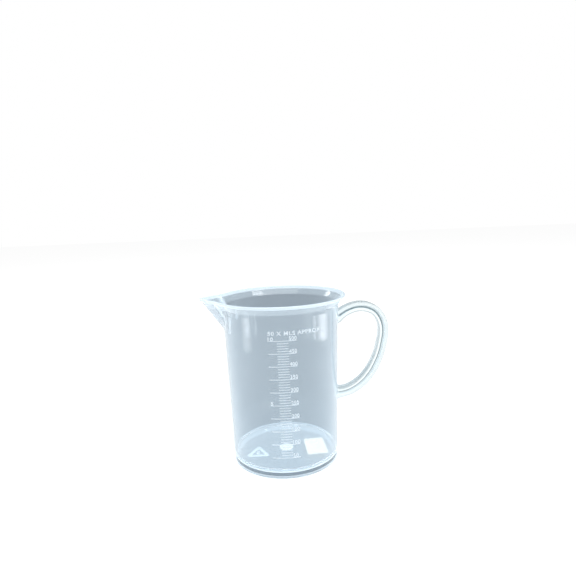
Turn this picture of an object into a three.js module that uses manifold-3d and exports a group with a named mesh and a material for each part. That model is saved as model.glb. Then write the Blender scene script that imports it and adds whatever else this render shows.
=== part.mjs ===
// Handled measuring beaker, 500 ml, in clear plastic. Millimetres, +Z up.
//
// The vessel is worked out about its own upright axis, with the spout towards -X, the handle
// towards +X and the scale facing -Y, and stands on z = 0. The outermost group then slides it
// along X, so that the origin is the bottom centre of the whole object's box.
//
// The real body is one moulding. It is divided here into the regions a mould maker would name:
// foot ring, floor, wall, flared lip, rim bead, spout, handle rails and web, and raised marks.

import * as THREE from 'three';
import * as BufferGeometryUtils from 'three/addons/utils/BufferGeometryUtils.js';
import Module from 'manifold-3d';

// ---- Driving dimensions -------------------------------------------------------------------

const BODY_HEIGHT = 127;            // table to the rim
const WALL = 1.5;                   // thickness of the tapered wall
const FOOT_RADIUS = 40.6;           // outside, at the table
const SHOULDER_RADIUS = 43.9;       // outside, where the flare starts
const SHOULDER_HEIGHT = 119.7;
const RIM_RADIUS = 49.5;            // outside, at the top
const BEAD_HEIGHT = 2.6;
const BEAD_THICKNESS = 2.4;

const FLOOR_UNDERSIDE = 4.2;        // the floor stands off the table inside the foot ring
const FLOOR_TOP = 6.2;
const FOOT_RING_WIDTH = 3.1;
const FOOT_EDGE = 0.6;              // chamfer on the foot's outer edge
const CORNER_FILLET = 1.5;          // between floor and wall, inside

const SPOUT_FOOT = 102;             // where the spout leaves the wall
const SPOUT_REACH = 61.2;           // axis to the tip
const SPOUT_LIFT = 0.2;             // the tip stands this far above the rim
const SPOUT_SIDE = 50;              // most degrees between each straight side and the middle
const SPOUT_BLUNT = 2.6;            // degrees about the axis over which the tip is rounded
const SPOUT_FILLET = 1.2;           // where the sides run into the wall
const SPOUT_SECTOR = 42;            // degrees either side that the spout's own region takes up
const SPOUT_REGION_FOOT = 99.5;

const HANDLE_WIDTH = 7.6;           // across the rails, along Y
const HANDLE_DEPTH = 7.3;           // outer face to inner face, in the plane of the loop
const RAIL = 2.4;                   // thickness of each rail
const WEB = 2.6;                    // thickness of the web between the rails, along Y
const HANDLE_GAP = 0.3;             // between the rails' ends and the wall

const CAPACITY = 500;               // millilitres at the top mark
const MARK_STEP = 50;
const MARK_ARC = 10;                // a long mark runs this far each side of the scale's middle
const MARK_HEIGHT = 0.6;
const MARK_RELIEF = 0.3;            // how far a mark stands out
const MARK_CLEARANCE = 0.05;

const GATE_RADIUS = 5.3;
const GATE_RELIEF = 1.6;
const EMBLEM_SIDE = 19;             // moulded triangle under the floor
const EMBLEM_BAND = 2.6;
const EMBLEM_RELIEF = 0.35;
const EMBLEM_PLACE = [-21.8, -9.3];
const LABEL_SIZE = [16, 25.8];
const LABEL_THICKNESS = 0.2;
const LABEL_PLACE = [23.2, -2.6];
const LABEL_TURN = 4;               // degrees
const UNDERSIDE_CLEARANCE = 0.05;

const RADIAL_STEPS = 96;            // facets round the vessel
const SPOUT_STEPS = 26;             // facets across the spout
const REGION_GAP = 0.3;             // between the spout's region and the wall

const degrees = THREE.MathUtils.degToRad;

// ---- Materials ----------------------------------------------------------------------------

function plastic(color, roughness, opacity) {
  return new THREE.MeshStandardMaterial({
    color, roughness, metalness: 0, transparent: opacity < 1, opacity,
  });
}

const bodyPlastic = plastic(0xc4d6e2, 0.15, 0.4);
const rimPlastic = plastic(0xe6f0f6, 0.15, 0.6);
const handlePlastic = plastic(0xdfe8ee, 0.2, 0.7);
const markPlastic = plastic(0xf2f6f8, 0.45, 0.9);
const labelPaper = new THREE.MeshStandardMaterial({ color: 0xf3efe2, roughness: 0.9, metalness: 0 });

// ---- Solids and meshes --------------------------------------------------------------------

const wasm = await Module();
wasm.setup();

function toSolid(geometry) {
  const bare = geometry.clone();
  bare.deleteAttribute('normal');
  bare.deleteAttribute('uv');
  const merged = BufferGeometryUtils.mergeVertices(bare, 1e-5);
  return new wasm.Manifold(new wasm.Mesh({
    numProp: 3,
    vertProperties: new Float32Array(merged.attributes.position.array),
    triVerts: new Uint32Array(merged.index.array),
  }));
}

function toGeometry(solid) {
  const mesh = solid.getMesh();
  const geometry = new THREE.BufferGeometry();
  geometry.setAttribute('position', new THREE.BufferAttribute(new Float32Array(mesh.vertProperties), 3));
  geometry.setIndex(new THREE.BufferAttribute(new Uint32Array(mesh.triVerts), 1));
  geometry.computeVertexNormals();
  return geometry;
}

const vessel = new THREE.Group();

function addPiece(name, geometry, material) {
  const mesh = new THREE.Mesh(geometry, material);
  mesh.name = name;
  vessel.add(mesh);
  return mesh;
}

// A closed outline of [radius, height] points, turned about the vessel's axis.
function turned(outline) {
  const points = outline.map(([r, z]) => new THREE.Vector2(r, z));
  if (outline[0][0] > 0) points.push(points[0].clone());
  const geometry = new THREE.LatheGeometry(points, RADIAL_STEPS);
  geometry.rotateX(Math.PI / 2);
  geometry.rotateZ(Math.PI / 2);
  return facingOut(geometry);
}

// Turns a mesh right side out, from the sign of its volume.
function facingOut(geometry) {
  const bare = geometry.clone();
  bare.deleteAttribute('normal');
  bare.deleteAttribute('uv');
  const merged = BufferGeometryUtils.mergeVertices(bare, 1e-5);
  const p = merged.attributes.position;
  const index = merged.index.array;
  const corners = [new THREE.Vector3(), new THREE.Vector3(), new THREE.Vector3()];
  let volume = 0;
  for (let i = 0; i < index.length; i += 3) {
    corners.forEach((c, k) => c.fromBufferAttribute(p, index[i + k]));
    volume += corners[0].dot(corners[1].clone().cross(corners[2])) / 6;
  }
  if (volume < 0) index.reverse();
  merged.computeVertexNormals();
  return merged;
}

// ---- The vessel's surface, as a radius at each angle and height ----------------------------

const TAPER = (SHOULDER_RADIUS - FOOT_RADIUS) / SHOULDER_HEIGHT;
const FLARE = (RIM_RADIUS - SHOULDER_RADIUS) / (BODY_HEIGHT - SHOULDER_HEIGHT);

function outerRadius(z) {
  if (z <= SHOULDER_HEIGHT) return FOOT_RADIUS + TAPER * z;
  return SHOULDER_RADIUS + FLARE * (z - SHOULDER_HEIGHT);
}

// The larger of two values, rounded over where they are within a reach of each other.
function roundedMax(a, b, reach) {
  const near = Math.max(reach - Math.abs(a - b), 0) / reach;
  return Math.max(a, b) + near * near * reach * 0.25;
}

// The skin at an angle from the spout's middle, moved towards the axis by inset. Each level is
// a circle joined to two straight sides that meet in a blunt tip and pass just inside the circle
// where they come closest to the axis.
function skinRadius(angle, z, inset) {
  const rise = (z - SPOUT_FOOT) / (BODY_HEIGHT - SPOUT_FOOT);
  const footRadius = outerRadius(SPOUT_FOOT);
  const reach = footRadius + (SPOUT_REACH - footRadius) * rise;
  const blunt = degrees(SPOUT_BLUNT);
  const flat = Math.min(reach * Math.sin(degrees(SPOUT_SIDE)), outerRadius(z) - SPOUT_FILLET);
  const side = Math.asin(flat / reach) - blunt;
  const turn = Math.min(side + Math.hypot(angle, blunt), Math.PI / 2);
  return roundedMax(outerRadius(z) - inset, (flat - inset) / Math.sin(turn), SPOUT_FILLET);
}

function skinPoint(angle, z, inset) {
  const radius = skinRadius(angle, z, inset);
  const out = Math.max(0, (radius - RIM_RADIUS) / (SPOUT_REACH - RIM_RADIUS));
  return new THREE.Vector3(-radius * Math.cos(angle), radius * Math.sin(angle), z + SPOUT_LIFT * out);
}

// A closed outline of [inset, height] points, carried round the skin through a list of angles.
function sweptRegion(outline, angles) {
  const count = outline.length;
  const positions = angles.flatMap((angle) => outline.flatMap(([inset, z]) => (
    skinPoint(angle, z, inset).toArray()
  )));
  const index = [];
  for (let i = 0; i + 1 < angles.length; i += 1) {
    for (let k = 0; k < count; k += 1) {
      const a = i * count + k;
      const b = i * count + ((k + 1) % count);
      index.push(a, b, a + count, b, b + count, a + count);
    }
  }
  const flat = outline.map(([inset, z]) => new THREE.Vector2(-inset, z));
  const last = (angles.length - 1) * count;
  const clockwise = THREE.ShapeUtils.isClockWise(flat);
  for (const [a, b, c] of THREE.ShapeUtils.triangulateShape(flat, [])) {
    index.push(...(clockwise ? [a, b, c] : [a, c, b]));
    index.push(...(clockwise ? [last + a, last + c, last + b] : [last + a, last + b, last + c]));
  }
  const geometry = new THREE.BufferGeometry();
  geometry.setAttribute('position', new THREE.Float32BufferAttribute(positions, 3));
  geometry.setIndex(index);
  return facingOut(geometry);
}

function evenSteps(from, to, steps) {
  return Array.from({ length: steps + 1 }, (_, i) => from + (to - from) * (i / steps));
}

const sector = degrees(SPOUT_SECTOR);
const gapAngle = REGION_GAP / RIM_RADIUS;

// Across the spout the angles crowd towards its middle, where the skin turns sharply.
const spoutAngles = evenSteps(-1, 1, SPOUT_STEPS).map((u) => (
  sector * Math.sign(u) * Math.abs(u) ** 1.7
));
const roundAngles = evenSteps(sector + gapAngle, 2 * Math.PI - sector - gapAngle, RADIAL_STEPS - 8);

// ---- Foot, floor, wall, lip, bead and spout -------------------------------------------------

const footRing = turned([
  [FOOT_RADIUS - FOOT_RING_WIDTH, 0],
  [FOOT_RADIUS - FOOT_EDGE, 0],
  [outerRadius(FOOT_EDGE), FOOT_EDGE],
  [outerRadius(FLOOR_UNDERSIDE), FLOOR_UNDERSIDE],
  [FOOT_RADIUS - FOOT_RING_WIDTH, FLOOR_UNDERSIDE],
]);

const floor = turned([
  [0, FLOOR_UNDERSIDE],
  [outerRadius(FLOOR_UNDERSIDE), FLOOR_UNDERSIDE],
  [outerRadius(FLOOR_TOP), FLOOR_TOP],
  [0, FLOOR_TOP],
]);

const insideFoot = outerRadius(FLOOR_TOP) - WALL;
const wallShell = turned([
  [outerRadius(FLOOR_TOP), FLOOR_TOP],
  [SHOULDER_RADIUS, SHOULDER_HEIGHT],
  [SHOULDER_RADIUS - WALL, SHOULDER_HEIGHT],
  [insideFoot, FLOOR_TOP + CORNER_FILLET],
  [insideFoot - CORNER_FILLET * 0.3, FLOOR_TOP + CORNER_FILLET * 0.3],
  [insideFoot - CORNER_FILLET, FLOOR_TOP],
]);

// The part of the wall that the spout's region takes the place of.
function notch() {
  const half = sector + gapAngle;
  const beyond = RIM_RADIUS * 1.5;
  const shape = new THREE.Shape([
    new THREE.Vector2(0, 0),
    ...evenSteps(Math.PI - half, Math.PI + half, 8).map((a) => (
      new THREE.Vector2(beyond * Math.cos(a), beyond * Math.sin(a))
    )),
  ]);
  const depth = BODY_HEIGHT - SPOUT_REGION_FOOT;
  const geometry = new THREE.ExtrudeGeometry(shape, { depth, bevelEnabled: false, steps: 1 });
  geometry.translate(0, 0, SPOUT_REGION_FOOT - REGION_GAP);
  return facingOut(geometry);
}

const wall = toGeometry(toSolid(wallShell).subtract(toSolid(notch())));

const beadFoot = BODY_HEIGHT - BEAD_HEIGHT;
const beadWidest = BODY_HEIGHT - BEAD_HEIGHT * 0.35;
const beadStandsOut = outerRadius(BODY_HEIGHT) - outerRadius(beadWidest);
const beadRound = BEAD_THICKNESS * 0.25;
const beadOutline = [
  [0, beadFoot],
  [-beadStandsOut, beadWidest],
  [beadRound, BODY_HEIGHT],
  [BEAD_THICKNESS - beadRound, BODY_HEIGHT],
  [BEAD_THICKNESS - beadStandsOut, beadWidest],
  [WALL, beadFoot],
];
const lipOutline = [
  [0, SHOULDER_HEIGHT],
  [0, beadFoot],
  [WALL, beadFoot],
  [WALL, SHOULDER_HEIGHT],
];
const spoutLevels = [...evenSteps(SPOUT_REGION_FOOT, SHOULDER_HEIGHT, 7), beadFoot - REGION_GAP];
const spoutOutline = [
  ...spoutLevels.map((z) => [0, z]),
  ...spoutLevels.map((z) => [WALL, z]).reverse(),
];

// ---- The handle ---------------------------------------------------------------------------

// The loop's middle line in the XZ plane, from the upper root round to the lower root.
const handleLine = new THREE.SplineCurve([
  [43.4, 109], [50.6, 113.4], [58.3, 115.7], [66.3, 115], [73.2, 111], [77.3, 103.6],
  [78.3, 95.7], [77.2, 88.3], [74.9, 79], [71.2, 70.1], [67, 63], [61.6, 56.8],
  [55, 51.9], [48, 49], [41, 48.2],
].map(([x, z]) => new THREE.Vector2(x, z)));

const HANDLE_STEPS = 44;

// The middle line moved outwards by offset, with both ends stopped just short of the wall.
function railEdge(offset) {
  const edge = [];
  for (let i = 0; i <= HANDLE_STEPS; i += 1) {
    const point = handleLine.getPointAt(i / HANDLE_STEPS);
    const along = handleLine.getTangentAt(i / HANDLE_STEPS);
    edge.push(new THREE.Vector2(point.x - along.y * offset, point.y + along.x * offset));
  }
  const clear = (p) => outerRadius(p.y) + HANDLE_GAP;
  const kept = edge.filter((p) => p.x > clear(p) + 0.4);
  const meet = (p, q) => {
    const slope = (q.y - p.y) / (q.x - p.x);
    const x = clear(p);
    return new THREE.Vector2(x, p.y + slope * (x - p.x));
  };
  kept.unshift(meet(kept[0], kept[1]));
  kept.push(meet(kept[kept.length - 1], kept[kept.length - 2]));
  return kept;
}

// The band between two offsets of the middle line, given a width along Y.
function handleBand(inner, outer, width) {
  const outline = [...railEdge(outer), ...railEdge(inner).reverse()];
  const shape = new THREE.Shape(outline);
  const geometry = new THREE.ExtrudeGeometry(shape, { depth: width, bevelEnabled: false, steps: 1 });
  geometry.rotateX(Math.PI / 2);
  geometry.translate(0, width / 2, 0);
  return facingOut(geometry);
}

// ---- Marks on the wall and under the floor -------------------------------------------------

// Height at which the tapered inside holds a volume, in millilitres, above the floor.
function levelFor(millilitres) {
  const baseRadius = FOOT_RADIUS - WALL;
  const floorRadius = baseRadius + TAPER * FLOOR_TOP;
  const cubed = floorRadius ** 3 + (3 * TAPER * millilitres * 1000) / Math.PI;
  return (Math.cbrt(cubed) - baseRadius) / TAPER;
}

function scaleMark(z) {
  const inner = outerRadius(z + MARK_HEIGHT / 2) + MARK_CLEARANCE;
  const outer = inner + MARK_RELIEF;
  const half = MARK_ARC / inner;
  const middle = -Math.PI / 2;
  const shape = new THREE.Shape();
  shape.absarc(0, 0, outer, middle - half, middle + half, false);
  shape.absarc(0, 0, inner, middle + half, middle - half, true);
  const geometry = new THREE.ExtrudeGeometry(shape, {
    depth: MARK_HEIGHT, bevelEnabled: false, curveSegments: 10, steps: 1,
  });
  geometry.translate(0, 0, z - MARK_HEIGHT / 2);
  return facingOut(geometry);
}

function gateMark() {
  const top = FLOOR_UNDERSIDE - UNDERSIDE_CLEARANCE;
  return turned([
    [0, top - GATE_RELIEF],
    [GATE_RADIUS - 0.3, top - GATE_RELIEF],
    [GATE_RADIUS, top],
    [0, top],
  ]);
}

// A triangular frame with its corners cut off, moulded proud of the floor's underside.
function emblem() {
  const corners = (side) => {
    const radius = side / Math.sqrt(3);
    const cut = 0.16;
    const tips = [90, 210, 330].map((a) => new THREE.Vector2(
      radius * Math.cos(degrees(a)),
      radius * Math.sin(degrees(a)),
    ));
    return tips.flatMap((tip, i) => [
      tip.clone().lerp(tips[(i + 2) % 3], cut),
      tip.clone().lerp(tips[(i + 1) % 3], cut),
    ]);
  };
  const shape = new THREE.Shape(corners(EMBLEM_SIDE));
  shape.holes.push(new THREE.Path(corners(EMBLEM_SIDE - EMBLEM_BAND * 2 * Math.sqrt(3))));
  const geometry = new THREE.ExtrudeGeometry(shape, {
    depth: EMBLEM_RELIEF, bevelEnabled: false, steps: 1,
  });
  geometry.translate(...EMBLEM_PLACE, FLOOR_UNDERSIDE - UNDERSIDE_CLEARANCE - EMBLEM_RELIEF);
  return facingOut(geometry);
}

function label() {
  const [width, length] = LABEL_SIZE;
  const geometry = new THREE.BoxGeometry(width, length, LABEL_THICKNESS);
  geometry.rotateZ(degrees(LABEL_TURN));
  const z = FLOOR_UNDERSIDE - UNDERSIDE_CLEARANCE - LABEL_THICKNESS / 2;
  geometry.translate(...LABEL_PLACE, z);
  return facingOut(geometry);
}

// ---- The assembly -------------------------------------------------------------------------

addPiece('foot_ring', footRing, rimPlastic);
addPiece('floor', floor, bodyPlastic);
addPiece('wall', wall, bodyPlastic);
addPiece('flared_lip', sweptRegion(lipOutline, roundAngles), bodyPlastic);
addPiece('rim_bead', sweptRegion(beadOutline, roundAngles), rimPlastic);
addPiece('spout', sweptRegion(spoutOutline, spoutAngles), bodyPlastic);
addPiece('spout_bead', sweptRegion(beadOutline, spoutAngles), rimPlastic);

const half = HANDLE_DEPTH / 2;
addPiece('handle_outer_rail', handleBand(half - RAIL, half, HANDLE_WIDTH), handlePlastic);
addPiece('handle_web', handleBand(RAIL - half, half - RAIL, WEB), bodyPlastic);
addPiece('handle_inner_rail', handleBand(-half, RAIL - half, HANDLE_WIDTH), handlePlastic);

for (let volume = MARK_STEP; volume <= CAPACITY; volume += MARK_STEP) {
  const name = `mark_${String(volume).padStart(3, '0')}_ml`;
  addPiece(name, scaleMark(levelFor(volume)), markPlastic);
}

addPiece('gate_mark', gateMark(), markPlastic);
addPiece('floor_emblem', emblem(), markPlastic);
addPiece('price_label', label(), labelPaper);

const handleReach = new THREE.Box3().setFromObject(vessel).max.x;
vessel.position.x = (SPOUT_REACH - handleReach) / 2;

const beaker = new THREE.Group();
beaker.add(vessel);

export default beaker;
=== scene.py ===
import math

import bmesh
import bpy
from mathutils import Matrix, Vector


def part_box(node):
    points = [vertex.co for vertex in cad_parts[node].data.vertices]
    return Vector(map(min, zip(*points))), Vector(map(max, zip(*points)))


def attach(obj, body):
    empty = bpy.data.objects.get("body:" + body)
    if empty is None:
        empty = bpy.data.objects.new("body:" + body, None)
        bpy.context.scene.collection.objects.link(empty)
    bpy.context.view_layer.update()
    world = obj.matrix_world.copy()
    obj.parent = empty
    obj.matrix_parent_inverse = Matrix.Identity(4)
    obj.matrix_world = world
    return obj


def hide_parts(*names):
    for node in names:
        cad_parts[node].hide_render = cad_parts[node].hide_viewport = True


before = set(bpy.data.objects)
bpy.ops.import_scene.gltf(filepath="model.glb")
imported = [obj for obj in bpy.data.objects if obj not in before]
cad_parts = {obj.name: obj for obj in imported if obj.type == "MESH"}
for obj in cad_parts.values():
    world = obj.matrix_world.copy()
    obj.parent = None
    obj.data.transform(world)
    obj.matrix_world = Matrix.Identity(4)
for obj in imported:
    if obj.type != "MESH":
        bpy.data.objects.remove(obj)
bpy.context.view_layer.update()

# A 500 ml measuring beaker in clear, faintly blue plastic: one moulded vessel with a spout and a
# looped handle, a raised scale on its wall, raised marks and a paper label under its floor.
# Metres, +Z up, spout towards -X, handle towards +X, scale facing -Y.

MM = 0.001

# ---- Sizes read from the frame --------------------------------------------------------------


def box_centre(node):
    low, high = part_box(node)
    return (low + high) / 2


def top(node):
    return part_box(node)[1].z


def bottom(node):
    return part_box(node)[0].z


def half_width(node):
    low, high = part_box(node)
    return (high.y - low.y) / 2


AXIS_X = box_centre("floor").x
AXIS = Vector((AXIS_X, 0, 0))
FOOT_RADIUS = half_width("foot_ring")
FLOOR_UNDERSIDE = bottom("floor")
FLOOR_TOP = top("floor")
SHOULDER_HEIGHT = bottom("flared_lip")
SHOULDER_RADIUS = half_width("wall")
RIM_HEIGHT = top("rim_bead")
BEAD_HEIGHT = RIM_HEIGHT - bottom("rim_bead")
RIM_RADIUS = half_width("rim_bead")
SPOUT_REACH = AXIS_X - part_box("spout_bead")[0].x
SPOUT_LIFT = top("spout_bead") - RIM_HEIGHT
TAPER = (SHOULDER_RADIUS - FOOT_RADIUS) / SHOULDER_HEIGHT
FLARE = (RIM_RADIUS - SHOULDER_RADIUS) / (RIM_HEIGHT - SHOULDER_HEIGHT)

HANDLE_WIDTH = 2 * half_width("handle_outer_rail")
HANDLE_WEB = 2 * half_width("handle_web")

# Sizes that the frame's boxes don't give.
WALL = 1.5 * MM
RIM_THICKNESS = 2.1 * MM
SPOUT_FOOT = 102 * MM
SPOUT_SIDE = math.radians(50)
SPOUT_BLUNT = math.radians(2.6)
SPOUT_FILLET = 1.2 * MM
FOLD_ANGLE = math.radians(17)
OUTER_FOLD_ANGLE = math.radians(31)
OUTER_FOLD_SHARE = 0.35
FOLD_WIDTH = math.radians(1.9)
FOLD_DEPTH = 0.8 * MM
FOOT_RING_WIDTH = 3.1 * MM


def wall_radius(z):
    """The outside of the vessel, away from the spout."""
    if z <= SHOULDER_HEIGHT:
        return FOOT_RADIUS + TAPER * z
    return SHOULDER_RADIUS + FLARE * (z - SHOULDER_HEIGHT)


# ---- Node trees written as expressions ------------------------------------------------------


class Value:
    """A socket in a node tree. Arithmetic on it adds the Math nodes that work it out."""

    def __init__(self, graph, socket):
        self.graph = graph
        self.socket = socket

    def math(self, operation, *others, clamp=False):
        inputs = dict(enumerate((self, *others)))
        made = self.graph.add(
            "ShaderNodeMath", {"operation": operation, "use_clamp": clamp}, inputs
        )
        return made["Value"]

    def __add__(self, other):
        return self.math("ADD", other)

    __radd__ = __add__

    def __sub__(self, other):
        return self.math("SUBTRACT", other)

    def __rsub__(self, other):
        return self.math("MULTIPLY", -1).math("ADD", other)

    def __mul__(self, other):
        return self.math("MULTIPLY", other)

    __rmul__ = __mul__

    def __truediv__(self, other):
        return self.math("DIVIDE", other)

    def __pow__(self, other):
        return self.math("POWER", other)

    def __gt__(self, other):
        return self.math("GREATER_THAN", other)

    def __lt__(self, other):
        return self.math("LESS_THAN", other)

    def sin(self):
        return self.math("SINE")

    def cos(self):
        return self.math("COSINE")

    def abs(self):
        return self.math("ABSOLUTE")

    def floor(self):
        return self.math("FLOOR")

    def at_least(self, other):
        return self.math("MAXIMUM", other)

    def at_most(self, other):
        return self.math("MINIMUM", other)

    def clamped(self):
        return self.math("ADD", 0, clamp=True)


class Made:
    """A node that has just been added: its outputs are read by name."""

    def __init__(self, graph, node):
        self.graph = graph
        self.node = node

    def __getitem__(self, name):
        live = [o for o in self.node.outputs if o.name == name and o.enabled]
        return Value(self.graph, live[0])


class Graph:
    """A shader or geometry tree under construction."""

    def __init__(self, tree):
        self.tree = tree

    def add(self, kind, settings=None, sockets=None):
        node = self.tree.nodes.new(kind)
        for name, value in (settings or {}).items():
            setattr(node, name, value)
        for name, value in (sockets or {}).items():
            live = [i for i in node.inputs if i.enabled and i.name == name]
            socket = live[0] if live else node.inputs[name]
            if isinstance(value, Value):
                self.tree.links.new(value.socket, socket)
            else:
                socket.default_value = value
        return Made(self, node)

    def xyz(self, vector):
        parts = self.add("ShaderNodeSeparateXYZ", None, {"Vector": vector})
        return parts["X"], parts["Y"], parts["Z"]

    def vector(self, x, y, z):
        return self.add("ShaderNodeCombineXYZ", None, {"X": x, "Y": y, "Z": z})["Vector"]


# ---- Materials ------------------------------------------------------------------------------


def new_material(name):
    material = bpy.data.materials.new(name)
    material.use_nodes = True
    material.node_tree.nodes.clear()
    return material, Graph(material.node_tree)


def shader_output(graph, shader):
    graph.add("ShaderNodeOutputMaterial", None, {"Surface": shader})


def band(value, low, high, soft):
    """1 between two limits and 0 beyond them, with soft edges."""
    rising = ((value - (low - soft)) / soft).clamped()
    falling = (((high + soft) - value) / soft).clamped()
    return rising * falling


def noise(graph, coords, scale, detail=2.0, roughness=0.5):
    """Fine unevenness that runs through the material, between 0 and 1."""
    return graph.add("ShaderNodeTexNoise", {"noise_dimensions": "3D"}, {
        "Vector": coords, "Scale": scale, "Detail": detail, "Roughness": roughness,
    })["Fac"]


BEYOND = 1.0  # further than any part of the beaker, for a band that is open on one side

# Painted light and shade in the foot's outer skin, as (from, to) in millimetres above the table
# and
# the share of milk added: a painted bright line at the floor's edge, a clear gap that shows as a
# painted dark band, a thin painted bright line and the standing edge, painted bright.
FOOT_PAINTED_LIGHT_BANDS = ((5.0, 5.9, 0.75), (1.7, 2.3, 0.5), (-5, 1.2, 0.2), (2.6, 4.8, -0.5))
# A little milk in the floor inside the foot, and a painted highlight: a bright ring at the floor's
# inside corner.
FLOOR_BAND = (3.9, 6.4, 0.06)
FLOOR_CORNER_PAINTED_HIGHLIGHT = (6.3, 7.2, 0.08)
OUTER_RIDGE_TOP = 114 * MM


def body_milk(graph, coords):
    """Extra milk as painted highlights where edges gather light; less milk as painted shade in the
    foot.
    """
    x, y, z = graph.xyz(coords)
    from_axis_x = x - AXIS_X
    out = (from_axis_x * from_axis_x + y * y) ** 0.5
    inner_foot = FOOT_RADIUS - FOOT_RING_WIDTH
    foot_side = band(out, FOOT_RADIUS - 0.5 * MM, BEYOND, 0.3 * MM)
    middle = 1 - band(out, inner_foot + 0.5 * MM, BEYOND, 0.5 * MM)

    def ring(low, high, share):
        return share * band(z, low * MM, high * MM, 0.3 * MM)

    # Painted highlights at the rim's bead, the flare, the spout's side and the floor's corner; a
    # little milk in the floor.
    bead = 0.5 * band(z, RIM_HEIGHT - 2.0 * MM, BEYOND, 0.5 * MM)
    flare = 0.09 * band(z, SHOULDER_HEIGHT + 1.0 * MM, RIM_HEIGHT - 2.6 * MM, 0.8 * MM)
    spout = 0.07 * band(0 - from_axis_x, SHOULDER_RADIUS + 1.5 * MM, BEYOND, 3.0 * MM)
    floor = middle * ring(*FLOOR_BAND)
    corner = ring(*FLOOR_CORNER_PAINTED_HIGHLIGHT) * (1 - foot_side)
    foot = sum(ring(*foot_band) for foot_band in FOOT_PAINTED_LIGHT_BANDS)

    # The sine of the angle from the spout. The handle's side is put out of reach.
    sideways = y.abs() / out + band(from_axis_x, 0.0, BEYOND, 0.01)
    # Painted highlights along the spout's two folds.
    ridge = 0.34 * band(sideways, 0.27, 0.31, 0.02)
    ridge = ridge * band(z, SPOUT_FOOT + 5 * MM, RIM_HEIGHT - 3 * MM, 3 * MM)
    outer_ridge = 0.26 * band(sideways, 0.5, 0.53, 0.025)
    outer_ridge = outer_ridge * band(z, SPOUT_FOOT + 4 * MM, OUTER_RIDGE_TOP, 3 * MM)
    return bead + flare + spout + floor + corner + ridge + outer_ridge + foot_side * foot


def from_middle_line(graph):
    """How far a point of the handle lies out of the loop's middle line, stored in its mesh."""
    return graph.add("ShaderNodeAttribute", {"attribute_name": "outwards"})["Fac"]


# Painted shade and light on the handle: its dark groove and its pale rails are painted into the
# base colour.
GROOVE_PAINTED_SHADE_COLOUR = (0.2, 0.26, 0.28, 1)
RAIL_PAINTED_LIGHT_COLOUR = (0.84, 0.9, 0.91, 1)


def handle_shade(graph, coords):
    """Painted light and shade: pale rails, a dark groove between them, and greyer inner and outer
    faces.
    """
    out = from_middle_line(graph)
    _, across, _ = graph.xyz(coords)
    web = 1 - band(across.abs(), HANDLE_WEB / 2 + 0.3 * MM, BEYOND, 0.15 * MM)
    # Painted shade darkens the groove, the outer rail's edge and the inner and outer faces.
    groove = 0.95 * web * band(out, -1.3 * MM, 0.0, 0.25 * MM)
    pale_groove = 0.35 * web * band(out, 0.2 * MM, 1.4 * MM, 0.25 * MM)
    inner_face = 0.48 * band(out, -BEYOND, -2.8 * MM, 0.25 * MM)
    outer_rail = 0.16 * band(out, 2.0 * MM, BEYOND, 0.6 * MM)
    outer_face = 0.34 * band(out, 3.35 * MM, BEYOND, 0.3 * MM)
    pale = 1 - groove - pale_groove - inner_face - outer_rail - outer_face
    return graph.add("ShaderNodeMix", {"data_type": "RGBA"}, {
        "Factor": pale.clamped(), "A": GROOVE_PAINTED_SHADE_COLOUR, "B": RAIL_PAINTED_LIGHT_COLOUR,
    })["Result"]


def handle_milk(graph, _):
    """Less milk in the inner and outer faces, seen straight through, to darken them: painted
    shade.
    """
    return -0.3 * band(from_middle_line(graph).abs(), 3.5 * MM, BEYOND, 0.15 * MM)


PLASTIC_IOR = 1.49


def clear_plastic(
    name, tint, milk, middle, edge, roughness=0.06, painted_milk=None, shade=None, glow=0.0
):
    """Clear moulded plastic with a share of milk in it: one share in the middle and one where
    the wall is seen edge on. Extra milk and shade are functions of the place: painted highlights
    and painted shade. Glow is painted light in the milky part. Lamps shine through, so that what
    the plastic holds and stands on isn't left dark."""
    material, graph = new_material(name)
    coords = graph.add("ShaderNodeTexCoord")["Object"]
    ripple = noise(graph, coords, scale=55.0, roughness=0.45)
    cloud = noise(graph, coords, scale=24.0, detail=3.0, roughness=0.55)
    bump = graph.add("ShaderNodeBump", None, {
        "Strength": 0.12, "Distance": 0.4 * MM, "Height": ripple,
    })["Normal"]
    facing = graph.add("ShaderNodeLayerWeight", None, {"Blend": 0.5})["Facing"]
    share = middle + (edge - middle) * facing ** 2.2
    share = share * (0.9 + 0.2 * cloud)
    if painted_milk:
        share = share + painted_milk(graph, coords)
    clear = graph.add("ShaderNodeBsdfPrincipled", None, {
        "Base Color": tint, "Roughness": roughness, "IOR": PLASTIC_IOR,
        "Transmission Weight": 1.0, "Normal": bump,
    })["BSDF"]
    # The milky part takes the painted light and shade of the base colour, and glows as painted
    # light where glow is set.
    milky = graph.add("ShaderNodeBsdfPrincipled", None, {
        "Base Color": shade(graph, coords) if shade else milk, "Roughness": 0.25,
        "IOR": PLASTIC_IOR, "Normal": bump, "Emission Color": milk, "Emission Strength": glow,
    })["BSDF"]
    plastic = graph.add("ShaderNodeMixShader", None, {
        0: share.clamped(), 1: clear, 2: milky,
    })["Shader"]
    ray = graph.add("ShaderNodeLightPath")
    let_through = ray["Is Shadow Ray"].at_least(ray["Is Diffuse Ray"])
    through = graph.add("ShaderNodeBsdfTransparent", None, {"Color": tint})["BSDF"]
    mixed = graph.add("ShaderNodeMixShader", None, {0: let_through, 1: plastic, 2: through})
    shader_output(graph, mixed["Shader"])
    return material


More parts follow.
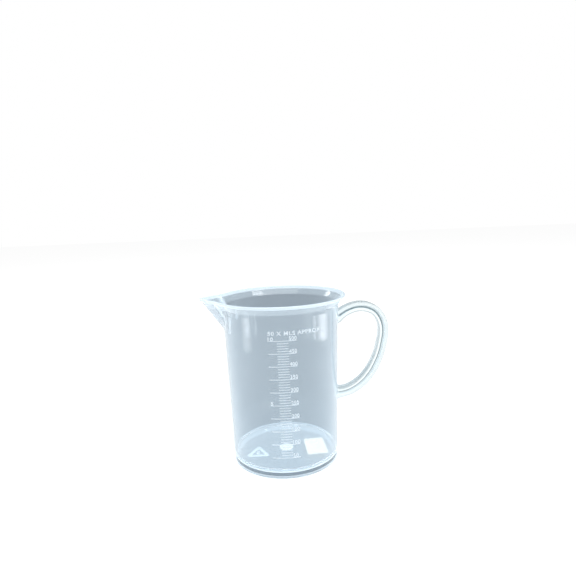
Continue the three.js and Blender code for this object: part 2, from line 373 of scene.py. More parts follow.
def label_paper():
    """Coated paper: warm white, with fine fibres, a faint mottle and a faint glow of painted
    light.
    """
    material, graph = new_material("label paper")
    coords = graph.add("ShaderNodeTexCoord")["Object"]
    fibres = noise(graph, coords, scale=1800.0, detail=4.0, roughness=0.7)
    mottle = noise(graph, coords, scale=160.0, detail=3.0)
    colour = graph.add("ShaderNodeMix", {"data_type": "RGBA"}, {
        "Factor": (0.4 * fibres + 0.6 * mottle).clamped(),
        "A": (1.0, 0.86, 0.66, 1), "B": (1.0, 0.91, 0.75, 1),
    })["Result"]
    bump = graph.add("ShaderNodeBump", None, {
        "Strength": 0.35, "Distance": 0.05 * MM, "Height": fibres,
    })["Normal"]
    # Painted light: the paper glows faintly, for the daylight that the floor gathers.
    paper = graph.add("ShaderNodeBsdfPrincipled", None, {
        "Base Color": colour, "Roughness": 0.62 + 0.2 * mottle, "Normal": bump,
        "Emission Color": colour, "Emission Strength": 0.42,  # daylight that the floor gathers
    })["BSDF"]
    shader_output(graph, paper)
    return material


CLEAR_TINT = (0.94, 0.97, 0.99, 1)
MILK = (0.79, 0.91, 1.0, 1)
MARK_MILK = (0.9, 0.96, 1.0, 1)
EMBLEM_MILK = (0.9, 0.97, 1.0, 1)
GATE_MILK = (1.0, 0.96, 0.86, 1)
FROST = 0.3

# The body's extra milk holds painted highlights and painted shade.
body_plastic = clear_plastic(
    "clear body plastic", CLEAR_TINT, MILK, middle=0.075, edge=0.5, painted_milk=body_milk
)
# The handle is nearly all milk, with painted light and shade in its base colour and painted shade
# on its faces.
handle_plastic = clear_plastic(
    "clear handle plastic", CLEAR_TINT, MILK, middle=0.93, edge=0.93, painted_milk=handle_milk,
    shade=handle_shade,
)
mark_plastic = clear_plastic(
    "frosted mark plastic", CLEAR_TINT, MARK_MILK, middle=0.36, edge=0.7, roughness=FROST
)
# Painted light: the emblem glows faintly, for the daylight gathered under the floor.
emblem_plastic = clear_plastic(
    "frosted emblem plastic", CLEAR_TINT, EMBLEM_MILK, middle=0.7, edge=0.8, roughness=FROST,
    glow=0.12,
)
# Painted light: the gate pad glows, for the daylight gathered under the floor.
gate_plastic = clear_plastic(
    "frosted gate plastic", CLEAR_TINT, GATE_MILK, middle=0.9, edge=0.95, roughness=FROST,
    glow=0.3,
)
paper = label_paper()

# ---- Geometry node helpers ------------------------------------------------------------------

SOCKET_KINDS = {
    int: "NodeSocketInt", float: "NodeSocketFloat", bpy.types.Object: "NodeSocketObject",
}
NUDGE = 0.5 / 1000  # added before rounding down, so that a whole number stays itself
WELD = 1e-6
SLIVER_AREA = 1e-14


def geometry_tree(name, sizes):
    """A tree that takes a geometry and named sizes, and the sizes' sockets by name."""
    tree = bpy.data.node_groups.new(name, "GeometryNodeTree")
    tree.interface.new_socket("Geometry", in_out="INPUT", socket_type="NodeSocketGeometry")
    for size, value in sizes.items():
        kind = SOCKET_KINDS[type(value)]
        tree.interface.new_socket(size, in_out="INPUT", socket_type=kind)
    tree.interface.new_socket("Geometry", in_out="OUTPUT", socket_type="NodeSocketGeometry")
    graph = Graph(tree)
    return tree, graph, graph.add("NodeGroupInput")


def finish_tree(graph, geometry, material):
    placed = graph.add("GeometryNodeRealizeInstances", None, {"Geometry": geometry})["Geometry"]
    dressed = graph.add("GeometryNodeSetMaterial", None, {
        "Geometry": placed, "Material": material,
    })["Geometry"]
    graph.add("NodeGroupOutput", None, {"Geometry": dressed})


def dress(mesh, material):
    """Gives a mesh one material only."""
    mesh.materials.clear()
    mesh.materials.append(material)
    for face in mesh.polygons:
        face.material_index = 0


def grown(name, seed_mesh, tree, sizes):
    """Runs a geometry tree on a seed mesh and returns the result as a plain mesh object."""
    obj = bpy.data.objects.new(name, seed_mesh)
    bpy.context.scene.collection.objects.link(obj)
    modifier = obj.modifiers.new("grow", "NODES")
    modifier.node_group = tree
    for item in tree.interface.items_tree:
        if item.item_type == "SOCKET" and item.in_out == "INPUT" and item.name in sizes:
            modifier[item.identifier] = sizes[item.name]
    graph = bpy.context.evaluated_depsgraph_get()
    mesh = bpy.data.meshes.new_from_object(obj.evaluated_get(graph))
    obj.modifiers.clear()
    obj.data = mesh
    mesh.name = name
    dress(mesh, mesh.materials[-1])
    return obj


def tidy_mesh(mesh):
    """Welds doubles, turns every face outwards and shades the mesh smooth."""
    shape = bmesh.new()
    shape.from_mesh(mesh)
    bmesh.ops.remove_doubles(shape, verts=shape.verts, dist=WELD)
    flat = [f for f in shape.faces if f.calc_area() < SLIVER_AREA]
    bmesh.ops.delete(shape, geom=flat, context="FACES_ONLY")
    bmesh.ops.recalc_face_normals(shape, faces=shape.faces)
    for face in shape.faces:
        face.smooth = True
    shape.to_mesh(mesh)
    shape.free()


# ---- The vessel -----------------------------------------------------------------------------


def arc(centre, radius, start, end, steps):
    """Points of a round corner, angles in degrees."""
    turn = [math.radians(start + (end - start) * i / steps) for i in range(steps + 1)]
    return [(centre[0] + radius * math.cos(a), centre[1] + radius * math.sin(a)) for a in turn]


def spaced(start, end, steps):
    """Points along a straight stretch, without its two ends."""
    return [
        (start[0] + (end[0] - start[0]) * i / steps, start[1] + (end[1] - start[1]) * i / steps)
        for i in range(1, steps)
    ]


def vessel_outline():
    """Half of the vessel's section, as (radius, height), from the middle of the inside floor up
    the inside, over the rim, down the outside, round the foot and back under the floor."""
    corner = 2.2 * MM
    inside_foot = wall_radius(FLOOR_TOP) - WALL
    bead = BEAD_HEIGHT
    bead_foot = RIM_HEIGHT - bead
    rim_round = RIM_THICKNESS / 2
    rim_middle = RIM_RADIUS - rim_round
    foot_round = 0.7 * MM
    ring_inner = FOOT_RADIUS - FOOT_RING_WIDTH
    under_corner = 0.8 * MM

    floor = [(0, FLOOR_TOP)] + spaced((0, FLOOR_TOP), (inside_foot - corner, FLOOR_TOP), 8)
    fillet = arc((inside_foot - corner, FLOOR_TOP + corner), corner, -90, 0, 7)
    shoulder_in = (SHOULDER_RADIUS - WALL, SHOULDER_HEIGHT)
    inside = spaced(fillet[-1], shoulder_in, 40) + [shoulder_in]
    bead_in = (wall_radius(bead_foot) - WALL, bead_foot)
    inside += spaced(shoulder_in, bead_in, 4) + [bead_in]
    rim = arc((rim_middle, RIM_HEIGHT - rim_round), rim_round, 180, 0, 12)
    bead_out = (wall_radius(bead_foot), bead_foot)
    shoulder_out = (SHOULDER_RADIUS, SHOULDER_HEIGHT)
    foot_centre = (FOOT_RADIUS - foot_round, foot_round)
    foot = arc(foot_centre, foot_round, 0, -90, 5)
    outside = [bead_out] + spaced(bead_out, shoulder_out, 4) + [shoulder_out]
    outside += spaced(shoulder_out, foot[0], 44)
    ring = arc((ring_inner + foot_round, foot_round), foot_round, -90, -180, 5)
    recess = arc(
        (ring_inner - under_corner, FLOOR_UNDERSIDE - under_corner), under_corner, 0, 90, 4
    )
    under = spaced(recess[-1], (0, FLOOR_UNDERSIDE), 8) + [(0, FLOOR_UNDERSIDE)]
    return floor + fillet + inside + rim + outside + foot + ring + recess + under


def outline_mesh(name, points):
    mesh = bpy.data.meshes.new(name)
    edges = [(i, i + 1) for i in range(len(points) - 1)]
    mesh.from_pydata([(r, 0, z) for r, z in points], edges, [])
    return mesh


VESSEL_SIZES = {
    "Angles": 420,
    "Crowding": 0.84,
    "Axis X": AXIS_X,
    "Foot Radius": FOOT_RADIUS,
    "Taper": TAPER,
    "Flare": FLARE,
    "Shoulder Height": SHOULDER_HEIGHT,
    "Rim Height": RIM_HEIGHT,
    "Rim Radius": RIM_RADIUS,
    "Spout Foot": SPOUT_FOOT,
    "Spout Reach": SPOUT_REACH,
    "Spout Side": SPOUT_SIDE,
    "Spout Blunt": SPOUT_BLUNT,
    "Spout Fillet": SPOUT_FILLET,
    "Spout Lift": SPOUT_LIFT,
    "Fold Angle": FOLD_ANGLE,
    "Outer Fold Angle": OUTER_FOLD_ANGLE,
    "Fold Width": FOLD_WIDTH,
    "Fold Depth": FOLD_DEPTH,
}


def vessel_tree(material):
    """Turns an outline about the axis and pushes the spout out of it."""
    tree, graph, given = geometry_tree("turned vessel with spout", VESSEL_SIZES)
    size = {name: given[name] for name in VESSEL_SIZES}
    rows = graph.add("GeometryNodeAttributeDomainSize", {"component": "MESH"}, {
        "Geometry": given["Geometry"],
    })["Point Count"]
    grid = graph.add("GeometryNodeMeshGrid", None, {
        "Vertices X": size["Angles"] + 1, "Vertices Y": rows,
    })["Mesh"]
    index = graph.add("GeometryNodeInputIndex")["Index"]
    column = (index / rows + NUDGE).floor()
    row = index - column * rows
    outline = graph.add(
        "GeometryNodeSampleIndex", {"data_type": "FLOAT_VECTOR", "domain": "POINT"}, {
            "Geometry": given["Geometry"],
            "Value": graph.add("GeometryNodeInputPosition")["Position"],
            "Index": row,
        })["Value"]
    radius, _, z = graph.xyz(outline)

    # Columns crowd towards the spout, where the wall turns sharply.
    whole = 2 * math.pi
    turn = column / size["Angles"] * whole
    angle = turn - size["Crowding"] * turn.sin()
    from_spout = angle.at_most(whole - angle)

    above = (z - size["Shoulder Height"]).at_least(0)
    below = z.at_most(size["Shoulder Height"])
    circle = size["Foot Radius"] + size["Taper"] * below + size["Flare"] * above
    inset = circle - radius
    rise = (z - size["Spout Foot"]) / (size["Rim Height"] - size["Spout Foot"])
    foot_radius = size["Foot Radius"] + size["Taper"] * size["Spout Foot"]
    reach = foot_radius + (size["Spout Reach"] - foot_radius) * rise
    fillet, blunt = size["Spout Fillet"], size["Spout Blunt"]
    flat = (reach * size["Spout Side"].sin()).at_most(circle - fillet)
    side = (flat / reach).math("ARCSINE") - blunt
    bend = side + (from_spout * from_spout + blunt * blunt) ** 0.5
    spout = (flat - inset) / bend.at_most(math.pi / 2).sin()
    near = (fillet - (radius - spout).abs()).at_least(0) / fillet
    off_fold = (from_spout - size["Fold Angle"]) / size["Fold Width"]
    off_outer = (from_spout - size["Outer Fold Angle"]) / size["Fold Width"]
    fold = (0 - off_fold * off_fold).math("EXPONENT")
    fold = fold + OUTER_FOLD_SHARE * (0 - off_outer * off_outer).math("EXPONENT")
    fold = size["Fold Depth"] * fold * (rise * 2.5).clamped()
    skin = radius.at_least(spout) + near * near * fillet * 0.25 - fold
    out = (skin - size["Rim Radius"]) / (size["Spout Reach"] - size["Rim Radius"])
    lifted = z + size["Spout Lift"] * out.at_least(0)

    place = graph.vector(
        size["Axis X"] - skin * angle.cos(), skin * angle.sin(), lifted
    )
    shaped = graph.add("GeometryNodeSetPosition", None, {"Geometry": grid, "Position": place})
    closed = graph.add("GeometryNodeMergeByDistance", None, {
        "Geometry": shaped["Geometry"], "Distance": WELD,
    })["Geometry"]
    finish_tree(graph, closed, material)
    return tree


def make_vessel():
    seed = outline_mesh("vessel outline", vessel_outline())
    vessel = grown("beaker_vessel", seed, vessel_tree(body_plastic), VESSEL_SIZES)
    tidy_mesh(vessel.data)
    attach(vessel, "root")
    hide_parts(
        "foot_ring", "floor", "wall", "flared_lip", "rim_bead", "spout", "spout_bead"
    )


# ---- The handle -----------------------------------------------------------------------------

# The loop's middle line, as (x from the vessel's axis, z) in millimetres, from the upper root.
HANDLE_LINE = [
    (38.5, 106), (43.4, 109), (50.6, 113.4), (58.3, 115.7), (66.3, 115), (73.2, 111),
    (77.3, 103.6), (78.3, 95.7), (77.2, 88.3), (74.9, 79), (71.2, 70.1), (67, 63),
    (61.6, 56.8), (55, 51.9), (48, 49), (41, 48.2), (37.5, 48.1),
]
HANDLE_DEPTH = 7.3 * MM
HANDLE_RAIL = 2.4 * MM
HANDLE_CORNER = 0.55 * MM
BULK_SIDES = 240


def rounded(corners, radius, steps=4):
    """A closed outline with every corner turned into a short curve."""
    points = []
    for i, here in enumerate(corners):
        here = Vector(here)
        for_, back = Vector(corners[(i + 1) % len(corners)]), Vector(corners[i - 1])
        reach = min(radius, (for_ - here).length / 2, (back - here).length / 2)
        start = here + (back - here).normalized() * reach
        end = here + (for_ - here).normalized() * reach
        for k in range(steps + 1):
            t = k / steps
            points.append(start * (1 - t) ** 2 + here * 2 * t * (1 - t) + end * t ** 2)
    return [tuple(p) for p in points]


def handle_section():
    """The handle's H-shaped section: (outwards in the loop's plane, along Y)."""
    far, near = HANDLE_DEPTH / 2, HANDLE_DEPTH / 2 - HANDLE_RAIL
    wide, thin = HANDLE_WIDTH / 2, HANDLE_WEB / 2
    half = [(far, wide), (near, wide), (near, thin), (-near, thin), (-near, wide), (-far, wide)]
    return rounded(half + [(a, -b) for a, b in reversed(half)], HANDLE_CORNER)


def handle_tree(sizes, material):
    """Sweeps a section along the loop, swells it at the roots and trims it to the wall."""
    tree, graph, given = geometry_tree("swept handle", sizes)
    size = {name: given[name] for name in sizes}
    path = graph.add("GeometryNodeMeshToCurve", None, {"Mesh": given["Geometry"]})["Curve"]
    path = graph.add("GeometryNodeCurveSplineType", {"spline_type": "CATMULL_ROM"}, {
        "Curve": path,
    })["Curve"]
    path = graph.add("GeometryNodeResampleCurve", None, {
        "Curve": path, "Count": size["Steps"],
    })["Curve"]
    section = graph.add("GeometryNodeObjectInfo", None, {"Object": size["Section"]})["Geometry"]
    rows = graph.add("GeometryNodeAttributeDomainSize", {"component": "MESH"}, {
        "Geometry": section,
    })["Point Count"]
    grid = graph.add("GeometryNodeMeshGrid", None, {
        "Vertices X": size["Steps"], "Vertices Y": rows + 1,
    })["Mesh"]
    index = graph.add("GeometryNodeInputIndex")["Index"]
    column = (index / (rows + 1) + NUDGE).floor()
    row = (index - column * (rows + 1)).math("MODULO", rows)
    offset = graph.add(
        "GeometryNodeSampleIndex", {"data_type": "FLOAT_VECTOR", "domain": "POINT"}, {
            "Geometry": section,
            "Value": graph.add("GeometryNodeInputPosition")["Position"], "Index": row,
        })["Value"]
    outwards, _, across = graph.xyz(offset)
    spot = graph.add("GeometryNodeSampleCurve", {"mode": "FACTOR"}, {
        "Curves": path, "Factor": column / (size["Steps"] - 1),
    })
    x, _, z = graph.xyz(spot["Position"])
    along_x, _, along_z = graph.xyz(spot["Tangent"])
    clear_of_wall = (x - size["Axis X"] - size["Foot Radius"] - size["Taper"] * z).at_least(0)
    swell = 1 + size["Root Swell"] * (0 - clear_of_wall / size["Root Reach"]).math("EXPONENT")
    place = graph.vector(
        x - along_z * outwards * swell, across * swell, z + along_x * outwards * swell
    )
    tube = graph.add("GeometryNodeSetPosition", None, {"Geometry": grid, "Position": place})
    marked = graph.add(
        "GeometryNodeStoreNamedAttribute", {"data_type": "FLOAT", "domain": "POINT"}, {
            "Geometry": tube["Geometry"], "Name": "outwards", "Value": outwards,
        })["Geometry"]
    closed = graph.add("GeometryNodeMergeByDistance", None, {
        "Geometry": marked, "Distance": WELD,
    })["Geometry"]
    bulk = graph.add("GeometryNodeMeshCone", {"fill_type": "NGON"}, {
        "Vertices": BULK_SIDES,
        "Radius Bottom": size["Foot Radius"] - size["Root Sink"],
        "Radius Top": size["Foot Radius"] + size["Taper"] * size["Bulk Height"]
        - size["Root Sink"],
        "Depth": size["Bulk Height"],
    })["Mesh"]
    bulk = graph.add("GeometryNodeTransform", None, {
        "Geometry": bulk, "Translation": graph.vector(size["Axis X"], 0.0, 0.0),
    })["Geometry"]
    trimmed = graph.add(
        "GeometryNodeMeshBoolean", {"operation": "DIFFERENCE", "solver": "EXACT"}, {
            "Mesh 1": closed, "Mesh 2": bulk,
        })["Mesh"]
    finish_tree(graph, trimmed, material)
    return tree


def make_handle():
    section = bpy.data.objects.new(
        "handle section", outline_mesh("handle section", handle_section())
    )
    seed = outline_mesh("handle line", [(AXIS_X + x * MM, z * MM) for x, z in HANDLE_LINE])
    sizes = {
        "Steps": 150, "Section": section, "Axis X": AXIS_X, "Foot Radius": FOOT_RADIUS,
        "Taper": TAPER, "Root Swell": 0.22, "Root Reach": 1.6 * MM, "Root Sink": 0.35 * MM,
        "Bulk Height": 130 * MM,
    }
    handle = grown("looped_handle", seed, handle_tree(sizes, handle_plastic), sizes)
    bpy.data.objects.remove(section)
    tidy_mesh(handle.data)
    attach(handle, "root")
    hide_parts("handle_outer_rail", "handle_web", "handle_inner_rail")


# ---- The raised scale -----------------------------------------------------------------------

CAPACITY_ML = 500
SMALL_STEP_ML = 10
LOWEST_MARK_ML = 50
LONG_EVERY = 5
RELIEF = 0.3 * MM
LONG_ARC = (-10 * MM, 10 * MM)
SHORT_ARC = (-3.6 * MM, 4.3 * MM)
MARK_THICKNESS = 0.42 * MM


def level(millilitres):
    """The height at which the tapered inside holds a volume above the floor."""
    base = FOOT_RADIUS - WALL
    cubed = (base + TAPER * FLOOR_TOP) ** 3 + 3 * TAPER * millilitres * 1e-6 / math.pi
    return (cubed ** (1 / 3) - base) / TAPER


def marks_tree(sizes, material):
    """Half-round ribs at equal volumes, every fifth one long, bent round the wall."""
    tree, graph, given = geometry_tree("raised scale marks", sizes)
    size = {name: given[name] for name in sizes}
    line = graph.add("GeometryNodeMeshLine", {"mode": "OFFSET"}, {
        "Count": size["Count"],
    })["Mesh"]
    number = graph.add("GeometryNodeInputIndex")["Index"] + size["First"]
    base = size["Foot Radius"] - size["Wall"]
    floor_radius = base + size["Taper"] * size["Floor Top"]
    volume = number * size["Step Volume"]
    cubed = floor_radius ** 3 + 3 / math.pi * size["Taper"] * volume
    height = (cubed ** (1 / 3) - base) / size["Taper"]
    long = number.math("MODULO", size["Long Every"]) < 0.5
    start = size["Short Start"] + long * (size["Long Start"] - size["Short Start"])
    end = size["Short End"] + long * (size["Long End"] - size["Short End"])
    rib = graph.add("GeometryNodeMeshCylinder", {"fill_type": "NGON"}, {
        "Vertices": 12, "Side Segments": 20, "Radius": 1.0, "Depth": 1.0,
    })["Mesh"]
    rib = graph.add("GeometryNodeTransform", None, {
        "Geometry": rib, "Rotation": (0, math.pi / 2, 0),
    })["Geometry"]
    points = graph.add("GeometryNodeSetPosition", None, {
        "Geometry": line, "Position": graph.vector((start + end) / 2, 0.0, height),
    })["Geometry"]
    ribs = graph.add("GeometryNodeInstanceOnPoints", None, {
        "Points": points, "Instance": rib,
        "Scale": graph.vector(end - start, size["Relief"], size["Thickness"] / 2),
    })["Instances"]
    flat = graph.add("GeometryNodeRealizeInstances", None, {"Geometry": ribs})["Geometry"]
    arc_length, out, z = graph.xyz(graph.add("GeometryNodeInputPosition")["Position"])
    wall = size["Foot Radius"] + size["Taper"] * z
    turn = arc_length / wall
    bent = graph.vector(
        size["Axis X"] + (wall - out) * turn.sin(), 0 - (wall - out) * turn.cos(), z
    )
    placed = graph.add("GeometryNodeSetPosition", None, {"Geometry": flat, "Position": bent})
    finish_tree(graph, placed["Geometry"], material)
    return tree


def make_marks():
    sizes = {
        "Count": (CAPACITY_ML - LOWEST_MARK_ML) // SMALL_STEP_ML + 1,
        "First": LOWEST_MARK_ML // SMALL_STEP_ML,
        "Step Volume": SMALL_STEP_ML * 1e-6, "Long Every": LONG_EVERY,
        "Axis X": AXIS_X, "Foot Radius": FOOT_RADIUS, "Taper": TAPER, "Wall": WALL,
        "Floor Top": FLOOR_TOP, "Relief": RELIEF, "Thickness": MARK_THICKNESS,
        "Short Start": SHORT_ARC[0], "Short End": SHORT_ARC[1],
        "Long Start": LONG_ARC[0], "Long End": LONG_ARC[1],
    }
    seed = bpy.data.meshes.new("scale seed")
    marks = grown("scale_marks", seed, marks_tree(sizes, mark_plastic), sizes)
    tidy_mesh(marks.data)
    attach(marks, "root")
    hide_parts(*[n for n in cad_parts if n.startswith("mark_")])


CAPITAL_HEIGHT = 0.73  # of the letters' nominal size
LETTER_LIFT = 0.08 * MM


def lettering(text, height, width, spacing=1.0):
    """Flat raised lettering as a mesh: x along the line, y up, z out. Its lower left corner is
    at the origin, and it is squeezed or stretched to the width."""
    curve = bpy.data.curves.new("lettering", "FONT")
    curve.body = text
    curve.size = height / CAPITAL_HEIGHT
    curve.space_character = spacing
    curve.extrude = 0.16 * MM
    curve.offset = 0.05 * MM
    curve.bevel_depth = 0.04 * MM
    curve.bevel_resolution = 1
    curve.resolution_u = 5
    obj = bpy.data.objects.new("lettering", curve)
    bpy.context.scene.collection.objects.link(obj)
    graph = bpy.context.evaluated_depsgraph_get()
    mesh = bpy.data.meshes.new_from_object(obj.evaluated_get(graph))
    bpy.data.objects.remove(obj)
    left = min(v.co.x for v in mesh.vertices)
    right = max(v.co.x for v in mesh.vertices)
    stretch = width / (right - left)
    for v in mesh.vertices:
        v.co.x = (v.co.x - left) * stretch
    return mesh


def wrapped(mesh, arc_start, height):
    """Bends flat lettering round the wall, its back sunk, its lower left corner at a place."""
    for v in mesh.vertices:
        z = height + v.co.y
        radius = wall_radius(z) + v.co.z + LETTER_LIFT
        turn = (arc_start + v.co.x) / wall_radius(z)
        v.co = (AXIS_X + radius * math.sin(turn), -radius * math.cos(turn), z)
    return mesh


def joined(name, meshes, material):
    """One piece from several meshes."""
    shape = bmesh.new()
    for mesh in meshes:
        shape.from_mesh(mesh)
    mesh = bpy.data.meshes.new(name)
    shape.to_mesh(mesh)
    shape.free()
    dress(mesh, material)
    piece = bpy.data.objects.new(name, mesh)
    bpy.context.scene.collection.objects.link(piece)
    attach(piece, "root")
    return piece


NUMBER_HEIGHT = 2.8 * MM
COUNT_HEIGHT = NUMBER_HEIGHT * 0.85
NUMBER_ARC = 4.6 * MM
NUMBER_LIFT = 0.45 * MM
DIGIT_WIDTH = 1.8 * MM
COUNT_ARC = -9.8 * MM
LEGEND_ARC = (-9.8 * MM, 28.6 * MM)
LEGEND_HEIGHT = 106.5 * MM
LEGEND_LETTER = 2.8 * MM


def make_numbers():
    """The long marks' volumes on their right, two counts of fifties on their left, and the
    legend above the scale."""
    meshes = []
    step = SMALL_STEP_ML * LONG_EVERY
    for volume in range(step, CAPACITY_ML + 1, step):
        text = str(volume)
        flat = lettering(text, NUMBER_HEIGHT, DIGIT_WIDTH * len(text), spacing=1.1)
        meshes.append(wrapped(flat, NUMBER_ARC, level(volume) + NUMBER_LIFT))
    for text, volume in (("10", 500), ("5", 250)):
        flat = lettering(text, COUNT_HEIGHT, DIGIT_WIDTH * len(text), spacing=1.1)
        meshes.append(wrapped(flat, COUNT_ARC, level(volume) + NUMBER_LIFT))
    joined("scale_numbers", meshes, mark_plastic)
    start, end = LEGEND_ARC
    flat = lettering("50 X MLS APPROX", LEGEND_LETTER, end - start, spacing=1.15)
    joined("scale_legend", [wrapped(flat, start, LEGEND_HEIGHT)], mark_plastic)


# ---- Under the floor ------------------------------------------------------------------------

CLEARANCE = 0.01 * MM
EMBLEM_SIDE = 19 * MM
EMBLEM_HOLE = 0.56
NUMERAL_SIZE = (2.6 * MM, 4.2 * MM)
LABEL_SIZE = (16 * MM, 25.8 * MM)
LABEL_TURN = math.radians(4)
LABEL_CORNER = 1.2 * MM
LABEL_THICKNESS = 0.12 * MM


def make_gate():
    """The round pad where the plastic entered the mould, with a small nipple in its middle."""
    radius = half_width("gate_mark")
    low, high = bottom("gate_mark"), FLOOR_UNDERSIDE - CLEARANCE
    nipple, edge, neck = radius * 0.18, 0.2 * MM, radius * 0.6
    outline = [(0, low - 0.2 * MM), (nipple * 0.7, low - 0.2 * MM), (nipple, low)]
    outline += [(radius - edge, low), (radius, low + edge), (radius, low + 3 * edge)]
    outline += [(radius - edge, low + 4 * edge), (neck, low + 4.5 * edge), (neck, high), (0, high)]
    mesh = turned_mesh("gate_pad", outline, 72)
    gate = joined("gate_pad", [mesh], gate_plastic)
    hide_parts("gate_mark")


def turned_mesh(name, outline, steps):
    """A small solid turned about the vessel's axis."""
    shape = bmesh.new()
    verts = [shape.verts.new((r, 0, z)) for r, z in outline]
    edges = [shape.edges.new(pair) for pair in zip(verts, verts[1:])]
    bmesh.ops.spin(
        shape, geom=verts + edges, cent=(0, 0, 0), axis=(0, 0, 1), dvec=(0, 0, 0),
        angle=2 * math.pi, steps=steps, use_merge=True,
    )
    bmesh.ops.translate(shape, verts=shape.verts, vec=AXIS)
    mesh = bpy.data.meshes.new(name)
    shape.to_mesh(mesh)
    shape.free()
    tidy_mesh(mesh)
    return mesh


def make_emblem():
    """A plain rounded triangle round a numeral, standing out under the floor."""
    low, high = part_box("floor_emblem")
    middle = (low + high) / 2
    tip = EMBLEM_SIDE / math.sqrt(3)
    centre = Vector((middle.x, middle.y - EMBLEM_SIDE * 0.08))
    loops = []
    for scale in (1.0, EMBLEM_HOLE):
        corners = [
            (tip * scale * math.cos(math.radians(a)), tip * scale * math.sin(math.radians(a)))
            for a in (90, 210, 330)
        ]
        loops.append(rounded(corners, EMBLEM_SIDE * scale * 0.2, 8))
    shape = bmesh.new()
    count = len(loops[0])
    rings = []
    top_z = FLOOR_UNDERSIDE - CLEARANCE
    for z, grow in ((top_z, 1.0), (low.z + 0.08 * MM, 1.0), (low.z, 0.985)):
        for loop, widen in ((loops[0], grow), (loops[1], 2 - grow)):
            rings.append([
                shape.verts.new((centre.x + x * widen, centre.y + y * widen, z)) for x, y in loop
            ])
    order = [0, 2, 4, 5, 3, 1]  # down the outer loop's rings and up the inner loop's
    for a, b in zip(order, order[1:] + order[:1]):
        for i in range(count):
            k = (i + 1) % count
            shape.faces.new((rings[a][i], rings[a][k], rings[b][k], rings[b][i]))
    ring = bpy.data.meshes.new("emblem ring")
    shape.to_mesh(ring)
    shape.free()
    tidy_mesh(ring)
    width, height = NUMERAL_SIZE
    numeral = lettering("5", height, width)
    for v in numeral.vertices:
        x, y, z = v.co
        v.co = (
            centre.x + width / 2 - x, centre.y - height / 2 + y, FLOOR_UNDERSIDE - 0.15 * MM - z
        )
    emblem = joined("floor_triangle", [ring, numeral], emblem_plastic)
    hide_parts("floor_emblem")


def make_label():
    """A paper label with rounded corners, stuck under the floor and slightly cockled."""
    low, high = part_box("price_label")
    middle = (low + high) / 2
    width, length = LABEL_SIZE
    turn, corner = LABEL_TURN, LABEL_CORNER
    columns, rows = 30, 50
    shape = bmesh.new()
    grid = {}
    for i in range(columns + 1):
        for k in range(rows + 1):
            x = (i / columns - 0.5) * width
            y = (k / rows - 0.5) * length
            over_x = max(abs(x) - (width / 2 - corner), 0)
            over_y = max(abs(y) - (length / 2 - corner), 0)
            beyond = math.hypot(over_x, over_y)
            if beyond > corner:
                x = math.copysign(width / 2 - corner + over_x * corner / beyond, x)
                y = math.copysign(length / 2 - corner + over_y * corner / beyond, y)
            cockle = 0.03 * MM * math.sin(x * 900 + 1) * math.sin(y * 520)
            place = Vector((
                x * math.cos(turn) - y * math.sin(turn), x * math.sin(turn) + y * math.cos(turn),
            ))
            grid[i, k] = shape.verts.new(
                (middle.x + place.x, middle.y + place.y, middle.z + cockle)
            )
    for i in range(columns):
        for k in range(rows):
            shape.faces.new((grid[i, k], grid[i + 1, k], grid[i + 1, k + 1], grid[i, k + 1]))
    bmesh.ops.solidify(shape, geom=shape.faces[:], thickness=LABEL_THICKNESS)
    mesh = bpy.data.meshes.new("price label")
    shape.to_mesh(mesh)
    shape.free()
    tidy_mesh(mesh)
    label = joined("paper_label", [mesh], paper)
    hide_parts("price_label")


make_vessel()
make_handle()
make_marks()
make_numbers()
make_gate()
make_emblem()
make_label()

# ---- Stage ----------------------------------------------------------------------------------

CAMERA_PLACE = Vector((-1.42, -357.97, 187.14)) * MM
CAMERA_PITCH = 0.1527
CAMERA_YAW = 0.0219
CAMERA_ROLL = -0.0404
CAMERA_LENS = 29.86
SEEN_THROUGH = (0.19, 0.22, 0.25, 1)  # the studio as seen through or mirrored in the plastic


def make_camera():
    camera = bpy.data.objects.new("camera", bpy.data.cameras.new("camera"))
    camera.data.sensor_width = 36
    camera.data.lens = CAMERA_LENS
    camera.data.clip_start = 0.01
    camera.data.clip_end = 50
    camera.matrix_world = (
        Matrix.Translation(AXIS + CAMERA_PLACE)
        @ Matrix.Rotation(-CAMERA_YAW, 4, "Z")
        @ Matrix.Rotation(math.pi / 2 - CAMERA_PITCH, 4, "X")
        @ Matrix.Rotation(CAMERA_ROLL, 4, "Z")
    )
    bpy.context.scene.collection.objects.link(camera)
    bpy.context.scene.camera = camera


def make_floor():
    material, graph = new_material("pale table")
    coords = graph.add("ShaderNodeTexCoord")["Object"]
    grain = noise(graph, coords, scale=6.0)
    seen_through = graph.add("ShaderNodeLightPath")["Is Transmission Ray"]
    colour = graph.add("ShaderNodeMix", {"data_type": "RGBA"}, {
        "Factor": seen_through, "A": (0.97, 0.97, 0.97, 1), "B": SEEN_THROUGH,
    })["Result"]
    shader = graph.add("ShaderNodeBsdfPrincipled", None, {
        "Base Color": colour,
        "Roughness": 0.6 + 0.1 * grain, "Specular IOR Level": 0.0,
    })
    shader_output(graph, shader["BSDF"])
    mesh = bpy.data.meshes.new("table")
    far = 4.0
    mesh.from_pydata([(-far, -far, 0), (far, -far, 0), (far, far, 0), (-far, far, 0)], [],
                     [(0, 1, 2, 3)])
    mesh.materials.append(material)
    table = bpy.data.objects.new("table", mesh)
    bpy.context.scene.collection.objects.link(table)


CARD_DISTANCE = 0.27
CARD_HEIGHT = 0.042
CARD_SPREADS = (0.55, 1.0, 1.5)


def make_lamp(name, place, aim, width, height, power):
    lamp = bpy.data.lights.new(name, "AREA")
    lamp.shape = "RECTANGLE"
    lamp.size = width
    lamp.size_y = height
    lamp.energy = power
    obj = bpy.data.objects.new(name, lamp)
    obj.location = place
    obj.rotation_euler = (Vector(aim) - Vector(place)).to_track_quat("-Z", "Y").to_euler()
    obj.visible_camera = False
    bpy.context.scene.collection.objects.link(obj)


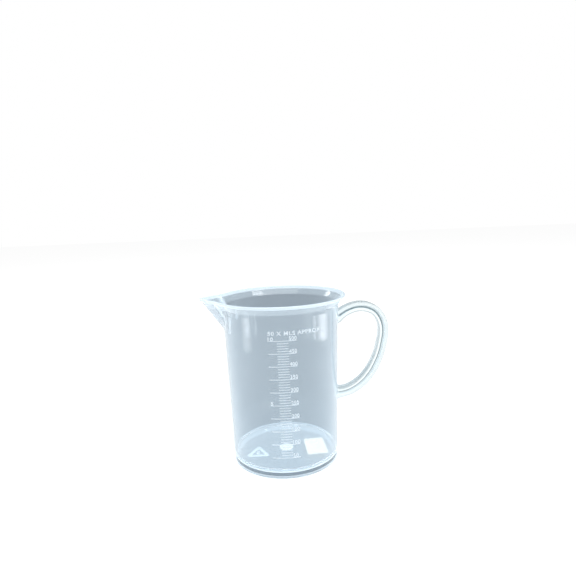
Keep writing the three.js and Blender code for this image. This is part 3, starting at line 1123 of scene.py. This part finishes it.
def make_world():
    world = bpy.data.worlds.new("studio")
    world.use_nodes = True
    world.node_tree.nodes.clear()
    world.cycles.sampling_method = "NONE"
    graph = Graph(world.node_tree)
    ray = graph.add("ShaderNodeLightPath")
    dimmed = ray["Is Transmission Ray"].at_least(ray["Is Glossy Ray"])
    colour = graph.add("ShaderNodeMix", {"data_type": "RGBA"}, {
        "Factor": dimmed, "A": (1, 1, 1, 1), "B": SEEN_THROUGH,
    })["Result"]
    sky = graph.add("ShaderNodeBackground", None, {"Color": colour, "Strength": 1.0})
    graph.add("ShaderNodeOutputWorld", None, {"Surface": sky["Background"]})
    bpy.context.scene.world = world


def make_card(name, azimuth, width, tall, glow, height=CARD_HEIGHT):
    """A small glowing card beside the beaker, which shows as a streak on its wall. It is three
    sheets of different sizes, one behind the other, so that the streak's edges are soft."""
    turn = math.radians(azimuth)
    away = Vector((math.sin(turn), -math.cos(turn), 0))
    for i, spread in enumerate(CARD_SPREADS):
        place = AXIS + away * (CARD_DISTANCE + i * 2 * MM) + Vector((0, 0, height))
        size = width * spread, tall * (0.7 + 0.3 * spread)
        power = glow / len(CARD_SPREADS) * math.pi * size[0] * size[1]
        make_lamp(f"{name} {i + 1}", place, AXIS + Vector((0, 0, height)), *size, power)


def set_render():
    scene = bpy.context.scene
    scene.view_settings.view_transform = "Standard"
    scene.cycles.max_bounces = 24
    scene.cycles.transmission_bounces = 20
    scene.cycles.transparent_max_bounces = 32
    scene.cycles.caustics_refractive = False
    scene.cycles.caustics_reflective = False


set_render()
make_camera()
make_floor()
make_world()
make_lamp("overhead", AXIS + Vector((0, -0.2, 1.4)), AXIS, 1.2, 1.2, 6)
make_card("card left", -68, 0.075, 0.042, 1.7, height=0.036)
make_card("card right", 83, 0.095, 0.034, 4.2)
make_card("thin card right", 63, 0.024, 0.03, 3.5)
make_lamp("rim lamp left", AXIS + Vector((0.44, -0.25, 0.98)), AXIS, 0.5, 0.1, 0.8)
make_lamp("rim lamp right", AXIS + Vector((-0.67, 0.53, 0.65)), AXIS, 0.26, 0.1, 0.45)
